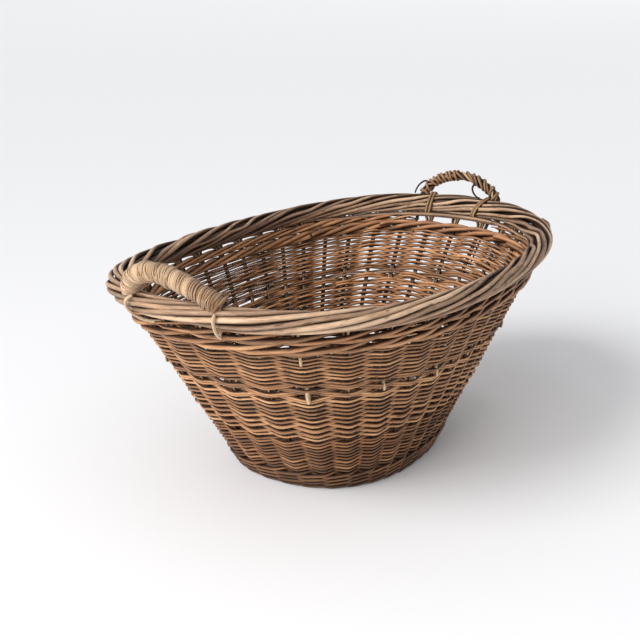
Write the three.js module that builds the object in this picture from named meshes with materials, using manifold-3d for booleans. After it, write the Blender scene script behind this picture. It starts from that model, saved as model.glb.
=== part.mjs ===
// Oval willow laundry basket: woven wall bands on upright stakes, a thick rod border,
// one bow handle bound with twine and one bow handle roped with willow.
// Millimetres, +Z up. X runs along the basket, Y across it. The origin is on the ground,
// below the middle of the rim. The twine-bound handle is at -X and the roped one at +X.

import * as THREE from 'three';
import { mergeVertices } from 'three/addons/utils/BufferGeometryUtils.js';
import Module from 'manifold-3d';

const wasm = await Module();
wasm.setup();

// ---------------------------------------------------------------- driving dimensions

const RIM_HALF_LENGTH = 380; // outside of the border
const RIM_HALF_WIDTH = 255;
const RIM_HEIGHT = 297; // top of the border, midway between its high ends and low sides
const RIM_RISE = 12; // how much higher the ends of the rim are than its sides
const BASE_HALF_LENGTH = 158; // outside of the foot
const BASE_HALF_WIDTH = 133;
const BASE_SHIFT = -28; // the foot sits this much nearer to the twine-bound handle
const PLAN_EXPONENT = 2.35; // the plan is a superellipse, a little squarer than an oval
const WALL = 12; // thickness of the woven wall
const GAP = 0.3; // between neighbouring pieces
const CLEARANCE = 0.5; // round a piece that passes another at a slant
const WRAP_CLEARANCE = 1.2; // round the border, under what is bent over it

const STAKE_COUNT = 36;
const STAKE_RADIUS = 3.2; // to the corners of a square stake
const STAKE_SIDES = 4;
const STAKE_SPACING_SWAY = 0.1; // stakes stand closer on one side by this share
const STAKE_SWAY_ANGLE = THREE.MathUtils.degToRad(30); // where they stand closest
const STAKE_PHASE = 0.5; // of one stake spacing

const BORDER_HALF_WIDTH = 17;
const BORDER_HALF_HEIGHT = 13.5;

// Heights of the bands, as a share of the height of the rim, from the ground up.
const BANDS = [
  { name: 'foot_wale', from: 0, to: 0.105, color: 0x6e5540 },
  { name: 'lower_weave', from: 0.105, to: 0.31, color: 0x7a5a41 },
  { name: 'middle_weave', from: 0.31, to: 0.635, color: 0x866a4f },
  { name: 'upper_weave', from: 0.635, to: 0.81, color: 0x846850 },
  { name: 'top_wale', from: 0.81, to: 0.872, color: 0x8c735b },
];

const BASE_SLAB_BOTTOM = 6;
const BASE_SLAB_THICKNESS = 10;
const BASE_STICK_RADIUS = 2.6;
const LONG_STICKS = { count: 3, spacing: 14 };
const CROSS_STICKS = { count: 7, spacing: 16 };

const BOW_RADIUS = 4.5; // the bent rod inside each handle
const BOW_FOOT_LEVEL = 0.7; // how deep the bow's legs go into the wall
// Each handle's arch stands at one end. A higher point makes it more like a bell than like a
// hoop, and skew is the share by which its +Y half is higher and its -Y half lower.
const NEAR_HANDLE = {
  end: -1, centreY: 9, span: 136, rise: 30, point: 1.4, skew: 0.55, lean: 0.33, sleeve: 12,
};
const FAR_HANDLE = {
  end: 1, centreY: -2, span: 136, rise: 36, point: 1.3, skew: 0.12, lean: 0.36, sleeve: 9,
};

const LASHING_RADIUS = 2.2;
const LASHINGS = { far_lashing_left: [51, 46], far_lashing_right: [-43, -48] }; // their y
const TWINE_RADIUS = 1.9;
// Where each twine tail lies, and its first turn round the border, in degrees above its outside.
const TWINE_TAILS = {
  near_twine_tail_left: { y: 62, from: 60 },
  near_twine_tail_right: { y: -51.5, from: 36 },
};
const LOOSE_ROD_RADIUS = 1.8;

const WILLOW = 0x8a6f56;
const WEATHERED_WILLOW = 0x9c8871;
const TWINE = 0xb09673;

// ---------------------------------------------------------------- shape of the basket

const { lerp } = THREE.MathUtils;
const borderLevel = 1 - BORDER_HALF_HEIGHT / RIM_HEIGHT; // middle of the border

function signedPower(value, power) {
  return Math.sign(value) * Math.abs(value) ** power;
}

function rimHeight(angle) {
  return RIM_HEIGHT + RIM_RISE * (Math.cos(angle) ** 2 - 0.5);
}

// A point of the wall: angle goes round the plan, level is 0 on the ground and 1 at the top
// of the border, and offset is outward from the middle of the wall's thickness.
function wallPoint(angle, level, offset = 0) {
  const flare = level / borderLevel;
  const rimLength = RIM_HALF_LENGTH - BORDER_HALF_WIDTH;
  const rimWidth = RIM_HALF_WIDTH - BORDER_HALF_WIDTH;
  const halfLength = lerp(BASE_HALF_LENGTH - WALL / 2, rimLength, flare) + offset;
  const halfWidth = lerp(BASE_HALF_WIDTH - WALL / 2, rimWidth, flare) + offset;
  const power = 2 / PLAN_EXPONENT;
  return new THREE.Vector3(
    lerp(BASE_SHIFT, 0, flare) + halfLength * signedPower(Math.cos(angle), power),
    halfWidth * signedPower(Math.sin(angle), power),
    level * rimHeight(angle),
  );
}

// Turns shares of the way round the rim into plan angles.
function makeRimScale() {
  const samples = 1440;
  const lengths = [0];
  for (let i = 1; i <= samples; i += 1) {
    const before = wallPoint(((i - 1) / samples) * 2 * Math.PI, 1);
    const here = wallPoint((i / samples) * 2 * Math.PI, 1);
    lengths.push(lengths[i - 1] + here.distanceTo(before));
  }
  const total = lengths[samples];
  return (share) => {
    const turns = Math.floor(share);
    const length = (share - turns) * total;
    let i = lengths.findIndex((value) => value > length);
    if (i < 1) i = samples;
    const part = (length - lengths[i - 1]) / (lengths[i] - lengths[i - 1]);
    return (turns + (i - 1 + part) / samples) * 2 * Math.PI;
  };
}

const angleAtShare = makeRimScale();

function stakeAngle(index) {
  const share = (index + STAKE_PHASE) / STAKE_COUNT;
  const sway = STAKE_SPACING_SWAY * Math.sin(2 * Math.PI * share - STAKE_SWAY_ANGLE);
  return angleAtShare(share - sway / (2 * Math.PI));
}

// The plan angle on one end of the rim whose point is at this y.
function angleAtY(y, end) {
  let low = -Math.PI / 2;
  let high = Math.PI / 2;
  for (let i = 0; i < 40; i += 1) {
    const middle = (low + high) / 2;
    if (wallPoint(middle, borderLevel).y < y) low = middle;
    else high = middle;
  }
  return end > 0 ? low : Math.PI - low;
}

// ---------------------------------------------------------------- solids

function toSolid(geometry) {
  const bare = geometry.clone();
  bare.deleteAttribute('normal');
  bare.deleteAttribute('uv');
  const merged = mergeVertices(bare, 1e-4);
  return new wasm.Manifold(new wasm.Mesh({
    numProp: 3,
    vertProperties: new Float32Array(merged.attributes.position.array),
    triVerts: new Uint32Array(merged.index.array),
  }));
}

function toGeometry(solid) {
  const mesh = solid.getMesh();
  const geometry = new THREE.BufferGeometry();
  geometry.setAttribute('position', new THREE.BufferAttribute(mesh.vertProperties, 3));
  geometry.setIndex(new THREE.BufferAttribute(mesh.triVerts, 1));
  geometry.computeVertexNormals();
  return geometry;
}

// A ring that follows the wall: a profile of [offset, level] corners turned round the plan,
// with one section at each of the given plan angles.
function wallRing(corners, angles) {
  const profile = [...corners, corners[0]].map(([offset, level]) => new THREE.Vector2(offset, level));
  const ring = new THREE.LatheGeometry(profile, angles.length);
  const position = ring.attributes.position;
  for (let i = 0; i < position.count; i += 1) {
    const angle = angles[Math.floor(i / profile.length) % angles.length];
    const corner = corners[(i % profile.length) % corners.length];
    const point = wallPoint(angle, corner[1], corner[0]);
    position.setXYZ(i, point.x, point.y, point.z);
  }
  return ring;
}

function circleShape(radius, sides) {
  const points = [];
  for (let i = 0; i < sides; i += 1) {
    const turn = ((i + 0.5) / sides) * 2 * Math.PI;
    points.push(new THREE.Vector2(radius * Math.cos(turn), radius * Math.sin(turn)));
  }
  return new THREE.Shape(points);
}

function tube(points, radius, sides, steps) {
  const path = new THREE.CatmullRomCurve3(points, false, 'centripetal');
  return new THREE.ExtrudeGeometry(circleShape(radius, sides), { steps, extrudePath: path });
}

function straightRod(from, to, radius, sides) {
  const rod = new THREE.CylinderGeometry(radius, radius, from.distanceTo(to), sides);
  const along = to.clone().sub(from).normalize();
  rod.applyQuaternion(new THREE.Quaternion().setFromUnitVectors(new THREE.Vector3(0, 1, 0), along));
  const middle = from.clone().add(to).multiplyScalar(0.5);
  rod.translate(middle.x, middle.y, middle.z);
  return rod;
}

function join(solids) {
  return solids.reduce((all, solid) => all.add(solid));
}

const basket = new THREE.Group();

function addPiece(name, geometry, color, roughness = 0.75) {
  const material = new THREE.MeshStandardMaterial({ color, roughness, metalness: 0 });
  const mesh = new THREE.Mesh(geometry, material);
  mesh.name = name;
  basket.add(mesh);
}

// ---------------------------------------------------------------- stakes

const stakeAngles = Array.from({ length: STAKE_COUNT }, (_, index) => stakeAngle(index));
const stakeTopLevel = borderLevel - (BORDER_HALF_HEIGHT + 1) / RIM_HEIGHT;
const stakeFootLevel = 0.012;

function stakeRod(angle, gap) {
  const from = wallPoint(angle, stakeFootLevel - gap / RIM_HEIGHT);
  const to = wallPoint(angle, stakeTopLevel + gap / RIM_HEIGHT);
  return straightRod(from, to, STAKE_RADIUS + gap, STAKE_SIDES);
}

stakeAngles.forEach((angle, index) => {
  const label = String(index + 1).padStart(2, '0');
  addPiece(`stake_${label}`, stakeRod(angle, 0), WILLOW);
});

const stakeChannels = join(stakeAngles.map((angle) => toSolid(stakeRod(angle, CLEARANCE))));

// ---------------------------------------------------------------- handles' bows

function legAngle(handle, side) {
  return angleAtY(handle.centreY + (side * handle.span) / 2, handle.end);
}

// The middle line of a handle's bow: down the wall from one leg, and an arch above the border.
function bowPoints(handle, legLevel) {
  const points = [];
  const archSteps = 10;
  const tops = [-1, 1].map((side) => wallPoint(legAngle(handle, side), 1));
  const topX = (tops[0].x + tops[1].x) / 2;
  const topZ = (tops[0].z + tops[1].z) / 2;
  if (legLevel < 1) {
    points.push(wallPoint(legAngle(handle, -1), legLevel));
    points.push(wallPoint(legAngle(handle, -1), borderLevel));
  }
  for (let i = 0; i <= archSteps; i += 1) {
    const turn = lerp(-Math.PI / 2, Math.PI / 2, i / archSteps);
    const skewed = 1 + handle.skew * Math.sin(turn);
    const rise = handle.rise * skewed * Math.max(0, Math.cos(turn)) ** handle.point;
    points.push(new THREE.Vector3(
      topX + handle.end * handle.lean * rise,
      handle.centreY + (handle.span / 2) * Math.sin(turn),
      topZ + rise,
    ));
  }
  if (legLevel < 1) {
    points.push(wallPoint(legAngle(handle, 1), borderLevel));
    points.push(wallPoint(legAngle(handle, 1), legLevel));
  }
  return points;
}

function bow(handle, extraRadius, legLevel) {
  return tube(bowPoints(handle, legLevel), BOW_RADIUS + extraRadius, 8, 20);
}

const bowChannels = [NEAR_HANDLE, FAR_HANDLE].map((handle) => (
  toSolid(bow(handle, CLEARANCE, BOW_FOOT_LEVEL - 0.004))
));

addPiece('near_handle_bow', bow(NEAR_HANDLE, 0, BOW_FOOT_LEVEL), WILLOW);
addPiece('far_handle_bow', bow(FAR_HANDLE, 0, BOW_FOOT_LEVEL), WILLOW);

// ---------------------------------------------------------------- woven bands and border

function bandRing({ from, to }) {
  const half = WALL / 2;
  const gapLevel = GAP / RIM_HEIGHT;
  const bottom = from === 0 ? 0 : from + gapLevel / 2;
  const top = to - gapLevel / 2;
  return wallRing([[-half, bottom], [half, bottom], [half, top], [-half, top]], stakeAngles);
}

BANDS.forEach((band) => {
  let solid = toSolid(bandRing(band)).subtract(stakeChannels);
  if (band.to > BOW_FOOT_LEVEL) solid = solid.subtract(bowChannels[0]).subtract(bowChannels[1]);
  addPiece(band.name, toGeometry(solid), band.color);
});

function borderRing(extra) {
  const corners = [];
  const sides = 8;
  for (let i = 0; i < sides; i += 1) {
    const turn = ((i + 0.5) / sides) * 2 * Math.PI;
    const offset = (BORDER_HALF_WIDTH + extra) * Math.cos(turn);
    const rise = (BORDER_HALF_HEIGHT + extra) * Math.sin(turn);
    corners.push([offset, borderLevel + rise / RIM_HEIGHT]);
  }
  const sections = STAKE_COUNT * 2;
  const angles = Array.from({ length: sections }, (_, index) => angleAtShare(index / sections));
  return wallRing(corners, angles);
}

const borderSolid = toSolid(borderRing(0)).subtract(bowChannels[0]).subtract(bowChannels[1]);
addPiece('rod_border', toGeometry(borderSolid), WEATHERED_WILLOW);

// ---------------------------------------------------------------- base

// Rods laid along and across the floor, longer than it, joined where they pierce each other.
function baseSticks(extraRadius) {
  const z = BASE_SLAB_BOTTOM + BASE_SLAB_THICKNESS / 2;
  const radius = BASE_STICK_RADIUS + extraRadius;
  const middle = new THREE.Vector3(BASE_SHIFT, 0, z);
  const lay = (sticks, across, along) => Array.from({ length: sticks.count }, (_, i) => {
    const place = middle.clone().addScaledVector(across, (i - (sticks.count - 1) / 2) * sticks.spacing);
    const from = place.clone().addScaledVector(along, -BASE_HALF_LENGTH);
    const to = place.clone().addScaledVector(along, BASE_HALF_LENGTH);
    return toSolid(straightRod(from, to, radius, 4));
  });
  const alongX = new THREE.Vector3(1, 0, 0);
  const alongY = new THREE.Vector3(0, 1, 0);
  return join([...lay(LONG_STICKS, alongY, alongX), ...lay(CROSS_STICKS, alongX, alongY)]);
}

// The woven floor fills the inside of the foot, which widens as it rises.
function baseSlab() {
  const level = BASE_SLAB_BOTTOM / RIM_HEIGHT;
  const outline = stakeAngles.map((angle) => {
    const point = wallPoint(angle, level, -WALL / 2 - GAP);
    return new THREE.Vector2(point.x, point.y);
  });
  const slab = new THREE.ExtrudeGeometry(new THREE.Shape(outline), {
    depth: BASE_SLAB_THICKNESS,
    bevelEnabled: false,
  });
  slab.translate(0, 0, BASE_SLAB_BOTTOM);
  return slab;
}

const floorSolid = toSolid(baseSlab());
addPiece('base_sticks', toGeometry(baseSticks(0).intersect(floorSolid)), WILLOW);
addPiece('base_weave', toGeometry(floorSolid.subtract(baseSticks(GAP))), 0x75583f);

// ---------------------------------------------------------------- handles' coverings

// A covering round the arch of a bow, ending on the border.
function sleeve(handle) {
  const outside = toSolid(tube(bowPoints(handle, 1), handle.sleeve, 10, 14));
  return outside
    .subtract(toSolid(borderRing(CLEARANCE)))
    .subtract(toSolid(bow(handle, GAP, BOW_FOOT_LEVEL)));
}

addPiece('near_handle_twine', toGeometry(sleeve(NEAR_HANDLE)), TWINE, 0.9);
addPiece('far_handle_roping', toGeometry(sleeve(FAR_HANDLE)), WILLOW);

// A point beside the border's section: turn is 0 on its outside and a quarter turn on its top.
function besideBorder(angle, turn, clear) {
  const rise = (BORDER_HALF_HEIGHT + clear) * Math.sin(turn);
  const offset = (BORDER_HALF_WIDTH + clear) * Math.cos(turn);
  return wallPoint(angle, borderLevel + rise / RIM_HEIGHT, offset);
}

// A rod or twine bent round the border's section between two turns.
function borderWrap(angle, fromTurn, toTurn, radius, steps) {
  const clear = radius + WRAP_CLEARANCE;
  const points = [];
  for (let i = 0; i <= steps; i += 1) {
    points.push(besideBorder(angle, lerp(fromTurn, toTurn, i / steps), clear));
  }
  return tube(points, radius, 6, steps);
}

const degrees = THREE.MathUtils.degToRad;

Object.entries(LASHINGS).forEach(([name, places]) => {
  places.forEach((y, index) => {
    const loop = borderWrap(angleAtY(y, FAR_HANDLE.end), degrees(95), degrees(-255), LASHING_RADIUS, 16);
    addPiece(`${name}_${index + 1}`, loop, WILLOW);
  });
});

Object.entries(TWINE_TAILS).forEach(([name, { y, from }]) => {
  const tail = borderWrap(angleAtY(y, -1), degrees(from), degrees(-90), TWINE_RADIUS, 10);
  addPiece(name, tail, TWINE, 0.9);
});

// ---------------------------------------------------------------- loose rod ends

// Points given as [along the arch's y, out from its middle line, above the border's top].
function nearBorderTop(handle, list) {
  const top = wallPoint(legAngle(handle, 1), 1);
  return list.map(([y, out, up]) => new THREE.Vector3(top.x + handle.end * out, y, top.z + up));
}

const shoulderLoop = nearBorderTop(FAR_HANDLE, [
  [62, 14, 24], [70, 15, 24], [79, 14, 20], [85, 11, 13], [86, 7, 7], [85, 3, 2.6],
]);
addPiece('far_loose_rod_left', tube(shoulderLoop, LOOSE_ROD_RADIUS, 6, 12), WILLOW);

const innerLoop = nearBorderTop(FAR_HANDLE, [
  [-30, -2, 27], [-27, -3, 20], [-29, -3, 12], [-35, -2, 5], [-40, 0, 3],
]);
addPiece('far_loose_rod_right', tube(innerLoop, LOOSE_ROD_RADIUS, 6, 10), WILLOW);

const rimLoop = [30, 10, -10, -30].map((turn, index) => {
  const angle = degrees(-38 - 3 * index);
  return besideBorder(angle, degrees(turn), LOOSE_ROD_RADIUS + CLEARANCE + (index % 3 ? 6 : 0.5));
});
addPiece('rim_loose_rod', tube(rimLoop, LOOSE_ROD_RADIUS, 6, 8), WEATHERED_WILLOW);

export default basket;
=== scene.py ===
"""Looks of the oval willow laundry basket: every rod of the weave, the border, the base and
the handles is a round, tapered rod of its own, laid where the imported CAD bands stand.

Metres, in the row frame: X runs along the basket, Y across it, Z up. The twine-bound handle
is at -X and the one roped with willow at +X.
"""

import math

import bpy
import numpy as np
from mathutils import Matrix, Vector


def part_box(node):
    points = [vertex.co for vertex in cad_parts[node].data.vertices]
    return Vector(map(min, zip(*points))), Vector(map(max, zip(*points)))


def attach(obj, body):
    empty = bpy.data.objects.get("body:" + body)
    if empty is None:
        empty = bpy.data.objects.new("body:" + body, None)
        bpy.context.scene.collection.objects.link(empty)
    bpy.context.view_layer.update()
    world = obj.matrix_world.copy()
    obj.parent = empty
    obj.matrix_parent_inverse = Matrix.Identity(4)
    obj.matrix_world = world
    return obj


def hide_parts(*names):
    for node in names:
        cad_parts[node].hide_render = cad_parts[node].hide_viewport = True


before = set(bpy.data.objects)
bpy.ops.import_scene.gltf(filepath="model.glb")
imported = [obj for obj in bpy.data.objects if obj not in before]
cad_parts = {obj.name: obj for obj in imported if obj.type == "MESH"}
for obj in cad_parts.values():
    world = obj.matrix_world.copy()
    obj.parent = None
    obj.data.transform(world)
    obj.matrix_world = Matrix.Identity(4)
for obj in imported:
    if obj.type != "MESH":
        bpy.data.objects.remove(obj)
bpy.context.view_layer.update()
random = np.random.default_rng(36)
MM = 0.001

# ---- driving dimensions ----

rim_low, rim_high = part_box("rod_border")
RIM_HALF_LENGTH = rim_high[0]
RIM_HALF_WIDTH = rim_high[1]
RIM_RISE = 12 * MM  # how much higher the ends of the rim are than its sides
RIM_HEIGHT = rim_high[2] - RIM_RISE / 2
BASE_HALF_LENGTH = 158 * MM
BASE_HALF_WIDTH = 133 * MM
BASE_SHIFT = -28 * MM  # the foot sits this much nearer to the twine-bound handle
PLAN_EXPONENT = 2.35
WALL = 12 * MM
BORDER_HALF_WIDTH = 17 * MM
BORDER_HALF_HEIGHT = 13.5 * MM
BORDER_LEVEL = 1 - BORDER_HALF_HEIGHT / RIM_HEIGHT

STAKES = 36
STAKE_RADIUS = 3.0 * MM
STAKE_SPACING_SWAY = 0.1
STAKE_SWAY_ANGLE = math.radians(30)

BORDER_ROD_RADIUS = 3.45 * MM
BOW_RADIUS = 4.5 * MM
TWINE_RADIUS = 1.9 * MM
LASHING_RADIUS = 2.64 * MM
LOOSE_ROD_RADIUS = 1.8 * MM
# How much painted shade darkens the side of a woven rod that turns to its stake.
CAVITY_PAINTED_SHADE = 0.85

# point above 1 makes an arch more like a bell than like a hoop; skew lifts its +Y half.
NEAR_HANDLE = dict(
    end=-1, centre=9 * MM, span=136 * MM, rise=30 * MM, point=1.4, skew=0.55, lean=0.33,
)
FAR_HANDLE = dict(
    end=1, centre=-2 * MM, span=136 * MM, rise=36 * MM, point=1.3, skew=0.12, lean=0.36,
)

# ---- small helpers ----


def unit(vectors):
    """Vectors of the same directions and of length 1."""
    return vectors / np.linalg.norm(vectors, axis=-1, keepdims=True)


def smoothstep(x):
    """Rises smoothly from 0 at x = 0 to 1 at x = 1, and is level outside that."""
    x = np.clip(x, 0, 1)
    return x * x * (3 - 2 * x)


def from_ends(s, width):
    """0 at both ends of a run of places and 1 further from them than a width."""
    return smoothstep(np.minimum(s - s[0], s[-1] - s) / width)


def wander(count, size):
    """A smooth random curve of s that closes after count spacings, about size high."""
    waves = np.arange(1, 8)
    heights = random.normal(size=len(waves)) * size / np.sqrt(waves)
    phases = random.uniform(0, 2 * np.pi, len(waves))

    def value(s):
        turns = np.multiply.outer(np.asarray(s, float) / count, waves) * 2 * np.pi
        return np.sin(turns + phases) @ heights * 0.7

    return value


def curve_through(points, samples):
    """Samples of a smooth curve through given points, evenly spaced by point."""
    points = np.asarray(points, float)
    ends = [2 * points[0] - points[1], 2 * points[-1] - points[-2]]
    control = np.vstack([ends[0], points, ends[1]])
    place = np.linspace(0, len(points) - 1 - 1e-9, samples)
    i = place.astype(int)
    t = (place - i)[:, None]
    a, b, c, d = (control[i + k] for k in range(4))
    return 0.5 * (
        2 * b
        + (c - a) * t
        + (2 * a - 5 * b + 4 * c - d) * t**2
        + (3 * b - a - 3 * c + d) * t**3
    )


def carried_guide(points, first):
    """Directions across a free curve that turn as little as they can along it."""
    along = unit(np.gradient(points, axis=0))
    guides = np.empty_like(points)
    guide = np.asarray(first, float)
    for i, tangent in enumerate(along):
        guide = guide - tangent * (guide @ tangent)
        guide = guide / np.linalg.norm(guide)
        guides[i] = guide
    return guides


# ---- shape of the basket ----


def signed_power(value, power):
    """A power of a value that keeps its sign."""
    return np.sign(value) * np.abs(value) ** power


def wall_point(angle, level, offset=0.0):
    """angle goes round the plan, level is 0 on the ground and 1 at the top of the border,
    and offset is outward from the middle of the wall's thickness."""
    flare = level / BORDER_LEVEL
    base_length = BASE_HALF_LENGTH - WALL / 2
    base_width = BASE_HALF_WIDTH - WALL / 2
    half_length = base_length + flare * (RIM_HALF_LENGTH - BORDER_HALF_WIDTH - base_length)
    half_width = base_width + flare * (RIM_HALF_WIDTH - BORDER_HALF_WIDTH - base_width)
    power = 2 / PLAN_EXPONENT
    height = RIM_HEIGHT + RIM_RISE * (np.cos(angle) ** 2 - 0.5)
    x = BASE_SHIFT * (1 - flare) + (half_length + offset) * signed_power(np.cos(angle), power)
    y = (half_width + offset) * signed_power(np.sin(angle), power)
    return np.stack(np.broadcast_arrays(x, y, level * height), axis=-1)


def make_stake_scale():
    """Turns places counted in stake spacings, 0 at stake_01, into plan angles."""
    angles = np.linspace(0, 2 * np.pi, 2881)
    steps = np.linalg.norm(np.diff(wall_point(angles, 1.0), axis=0), axis=1)
    lengths = np.concatenate([[0], np.cumsum(steps)]) / steps.sum()
    s = np.linspace(0, STAKES, 40 * STAKES + 1)
    share = (s + 0.5) / STAKES
    sway = STAKE_SPACING_SWAY * np.sin(2 * np.pi * share - STAKE_SWAY_ANGLE)
    swayed = share - sway / (2 * np.pi)
    turns = np.floor(swayed)
    table = np.interp(swayed - turns, lengths, angles) + turns * 2 * np.pi

    def angle_at(place):
        rounds = np.floor(np.asarray(place, float) / STAKES)
        return np.interp(place - rounds * STAKES, s, table) + rounds * 2 * np.pi

    return angle_at


angle_at = make_stake_scale()


def wall(s, level):
    """The middle of the wall's thickness, with s in stake spacings."""
    return wall_point(angle_at(s), level)


def wall_frame(s, level):
    """Points of the wall, its outward and upward directions there, and the distance up it for
    each unit of level."""
    ds, dv = 0.05, 0.004
    along = unit(wall(s + ds, level) - wall(s - ds, level))
    rising = (wall(s, level + dv) - wall(s, level - dv)) / (2 * dv)
    outward = unit(np.cross(along, rising))
    return wall(s, level), outward, np.cross(outward, along), np.linalg.norm(rising, axis=-1)


def place_of_y(y, end):
    """The place, in stake spacings, on one end of the rim whose point has this y."""
    s = np.linspace(0, STAKES, 7201)
    points = wall(s, BORDER_LEVEL)
    far_away = 9.0
    miss = np.abs(points[:, 1] - y) + np.where(points[:, 0] * end > 0, 0, far_away)
    return s[np.argmin(miss)]


# ---- rods ----

GRAIN_SHIFT = 50  # rods start anywhere on this many metres of grain, so no two look alike


class Rods:
    """Gathers round rods and makes one mesh of them. Each corner of the mesh keeps where
    it is on its rod, for the grain, and how its rod differs from the others."""

    def __init__(self, sides):
        self.sides = sides
        self.corners = []
        self.places = []
        self.looks = []
        self.quads = []
        self.caps = []
        self.count = 0

    def add(self, points, radii, guides, tone=None, shade=0.0, reach=0.0):
        """One rod. Its guides point out of the bundle or the wall it lies in, and one guide
        may serve for all its points. tone sets how pale it is and shade how much painted shade
        darkens it, and reach is 1 where it lies outside a stake and -1 where it lies inside one,
        which paints shade on the side that it turns to the stake."""
        points = np.asarray(points, float)
        number = len(points)
        along = unit(np.gradient(points, axis=0))
        out = unit(guides - along * np.sum(guides * along, axis=1, keepdims=True))
        across = np.cross(along, out)
        steps = np.linalg.norm(np.diff(points, axis=0), axis=1)
        length = np.concatenate([[0], np.cumsum(steps)]) + random.uniform(0, GRAIN_SHIFT)
        tone = random.uniform(0, 1) if tone is None else tone
        radii, tone, shade, reach = (
            np.broadcast_to(value, number)[:, None] for value in (radii, tone, shade, reach)
        )
        turn = np.arange(self.sides) / self.sides * 2 * np.pi
        cos, sin = np.cos(turn), np.sin(turn)
        ring = out[:, None] * cos[:, None] + across[:, None] * sin[:, None]
        corners = points[:, None] + ring * radii[..., None]
        # Painted shade on the side of a rod that turns to its stake.
        painted_dim = shade + CAVITY_PAINTED_SHADE * np.clip(-reach * cos, 0, 1)
        place = np.stack(np.broadcast_arrays(length[:, None], radii * cos, radii * sin), axis=-1)
        look = np.stack(np.broadcast_arrays(tone, cos, painted_dim), axis=-1)
        first = self.count + np.arange(number - 1)[:, None] * self.sides
        here = np.arange(self.sides)[None, :]
        after = (here + 1) % self.sides
        quads = np.stack(
            [first + here, first + after, first + after + self.sides, first + here + self.sides],
            axis=-1,
        )
        self.quads.append(quads.reshape(-1, 4))
        self.caps.append(self.count + np.arange(self.sides)[::-1])
        self.caps.append(self.count + (number - 1) * self.sides + np.arange(self.sides))
        self.corners.append(corners.reshape(-1, 3))
        self.places.append(place.reshape(-1, 3))
        self.looks.append(look.reshape(-1, 3))
        self.count += number * self.sides

    def build(self, name):
        """Makes one object of all the rods, with flat ends and smooth sides."""
        mesh = bpy.data.meshes.new(name)
        quads = np.concatenate(self.quads)
        caps = np.stack(self.caps)
        loops = np.concatenate([quads.ravel(), caps.ravel()])
        sizes = np.concatenate([np.full(len(quads), 4), np.full(len(caps), self.sides)])
        starts = np.concatenate([[0], np.cumsum(sizes)[:-1]])
        corners = np.concatenate(self.corners)
        mesh.vertices.add(len(corners))
        mesh.vertices.foreach_set("co", corners.astype(np.float32).ravel())
        mesh.loops.add(len(loops))
        mesh.loops.foreach_set("vertex_index", loops.astype(np.int32))
        mesh.polygons.add(len(sizes))
        mesh.polygons.foreach_set("loop_start", starts.astype(np.int32))
        smooth = np.concatenate([np.ones(len(quads), bool), np.zeros(len(caps), bool)])
        mesh.update(calc_edges=True)
        mesh.polygons.foreach_set("use_smooth", smooth)
        for label, values in (("rod_place", self.places), ("rod_look", self.looks)):
            attribute = mesh.attributes.new(label, "FLOAT_VECTOR", "POINT")
            attribute.data.foreach_set("vector", np.concatenate(values).astype(np.float32).ravel())
        mesh.validate()
        piece = bpy.data.objects.new(name, mesh)
        bpy.context.scene.collection.objects.link(piece)
        return piece


def finish_piece(rods, name, material, *nodes):
    """Builds one piece, which stands for CAD nodes, gives it its material, hangs it under the root
    body and hides the nodes."""
    piece = rods.build(name)
    piece.data.materials.append(material)
    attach(piece, "root")
    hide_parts(*nodes)


def single_rod(node, suffix, material, sides, points, radii, guides, **looks):
    """A piece that is one rod and stands for one CAD node."""
    rods = Rods(sides)
    rods.add(points, radii, guides, **looks)
    finish_piece(rods, node + suffix, material, node)


def uneven(number, spread):
    """Factors for a rod's radius at a number of points along it, which is never quite even."""
    points_per_knot = 12
    knots = max(4, number // points_per_knot)
    coarse = random.normal(0, spread, knots)
    return 1 + np.interp(np.linspace(0, knots - 1, number), np.arange(knots), coarse)


# ---- materials ----

# Dark brown for leaf scars, for the foot near the ground and for painted shade between and behind
# rods.
SCAR_AND_SHADE_BROWN = (0.030, 0.013, 0.006)
SHADE_REDDENING = (1.0, 0.74, 0.58)  # painted shade: redder, as light bounced between rods makes it
GROUND_DARK_HEIGHT = 50 * MM  # how far up from the ground the foot is darkened
NOISE_ROUGHNESS = 0.6


def shader_tree(name):
    """A new material with one principled shader."""
    material = bpy.data.materials.new(name)
    material.use_nodes = True
    tree = material.node_tree
    tree.nodes.clear()
    output = tree.nodes.new("ShaderNodeOutputMaterial")
    shader = tree.nodes.new("ShaderNodeBsdfPrincipled")
    tree.links.new(shader.outputs["BSDF"], output.inputs["Surface"])
    return material, tree, shader


def math_node(tree, operation, first, second, clamp=False):
    """The result of a sum on two values, each a number or a socket."""
    node = tree.nodes.new("ShaderNodeMath")
    node.operation = operation
    node.use_clamp = clamp
    for socket, value in zip(node.inputs, (first, second)):
        if isinstance(value, (int, float)):
            socket.default_value = value
        else:
            tree.links.new(value, socket)
    return node.outputs[0]


def stretched_noise(tree, vector, scale, detail):
    """Noise whose grains are as long and wide as scale says, in grains per metre."""
    stretch = tree.nodes.new("ShaderNodeVectorMath")
    stretch.operation = "MULTIPLY"
    stretch.inputs[1].default_value = scale
    tree.links.new(vector, stretch.inputs[0])
    noise = tree.nodes.new("ShaderNodeTexNoise")
    noise.inputs["Scale"].default_value = 1.0
    noise.inputs["Detail"].default_value = detail
    noise.inputs["Roughness"].default_value = NOISE_ROUGHNESS
    tree.links.new(stretch.outputs[0], noise.inputs["Vector"])
    return noise.outputs["Fac"]


def colour_ramp(tree, factor, stops):
    """The colour for a factor, through stops given as (place, colour)."""
    ramp = tree.nodes.new("ShaderNodeValToRGB")
    elements = ramp.color_ramp.elements
    while len(elements) < len(stops):
        elements.new(0.5)
    for element, (place, colour) in zip(elements, stops):
        element.position = place
        element.color = (*colour, 1)
    tree.links.new(factor, ramp.inputs["Fac"])
    return ramp.outputs["Color"]


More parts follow.
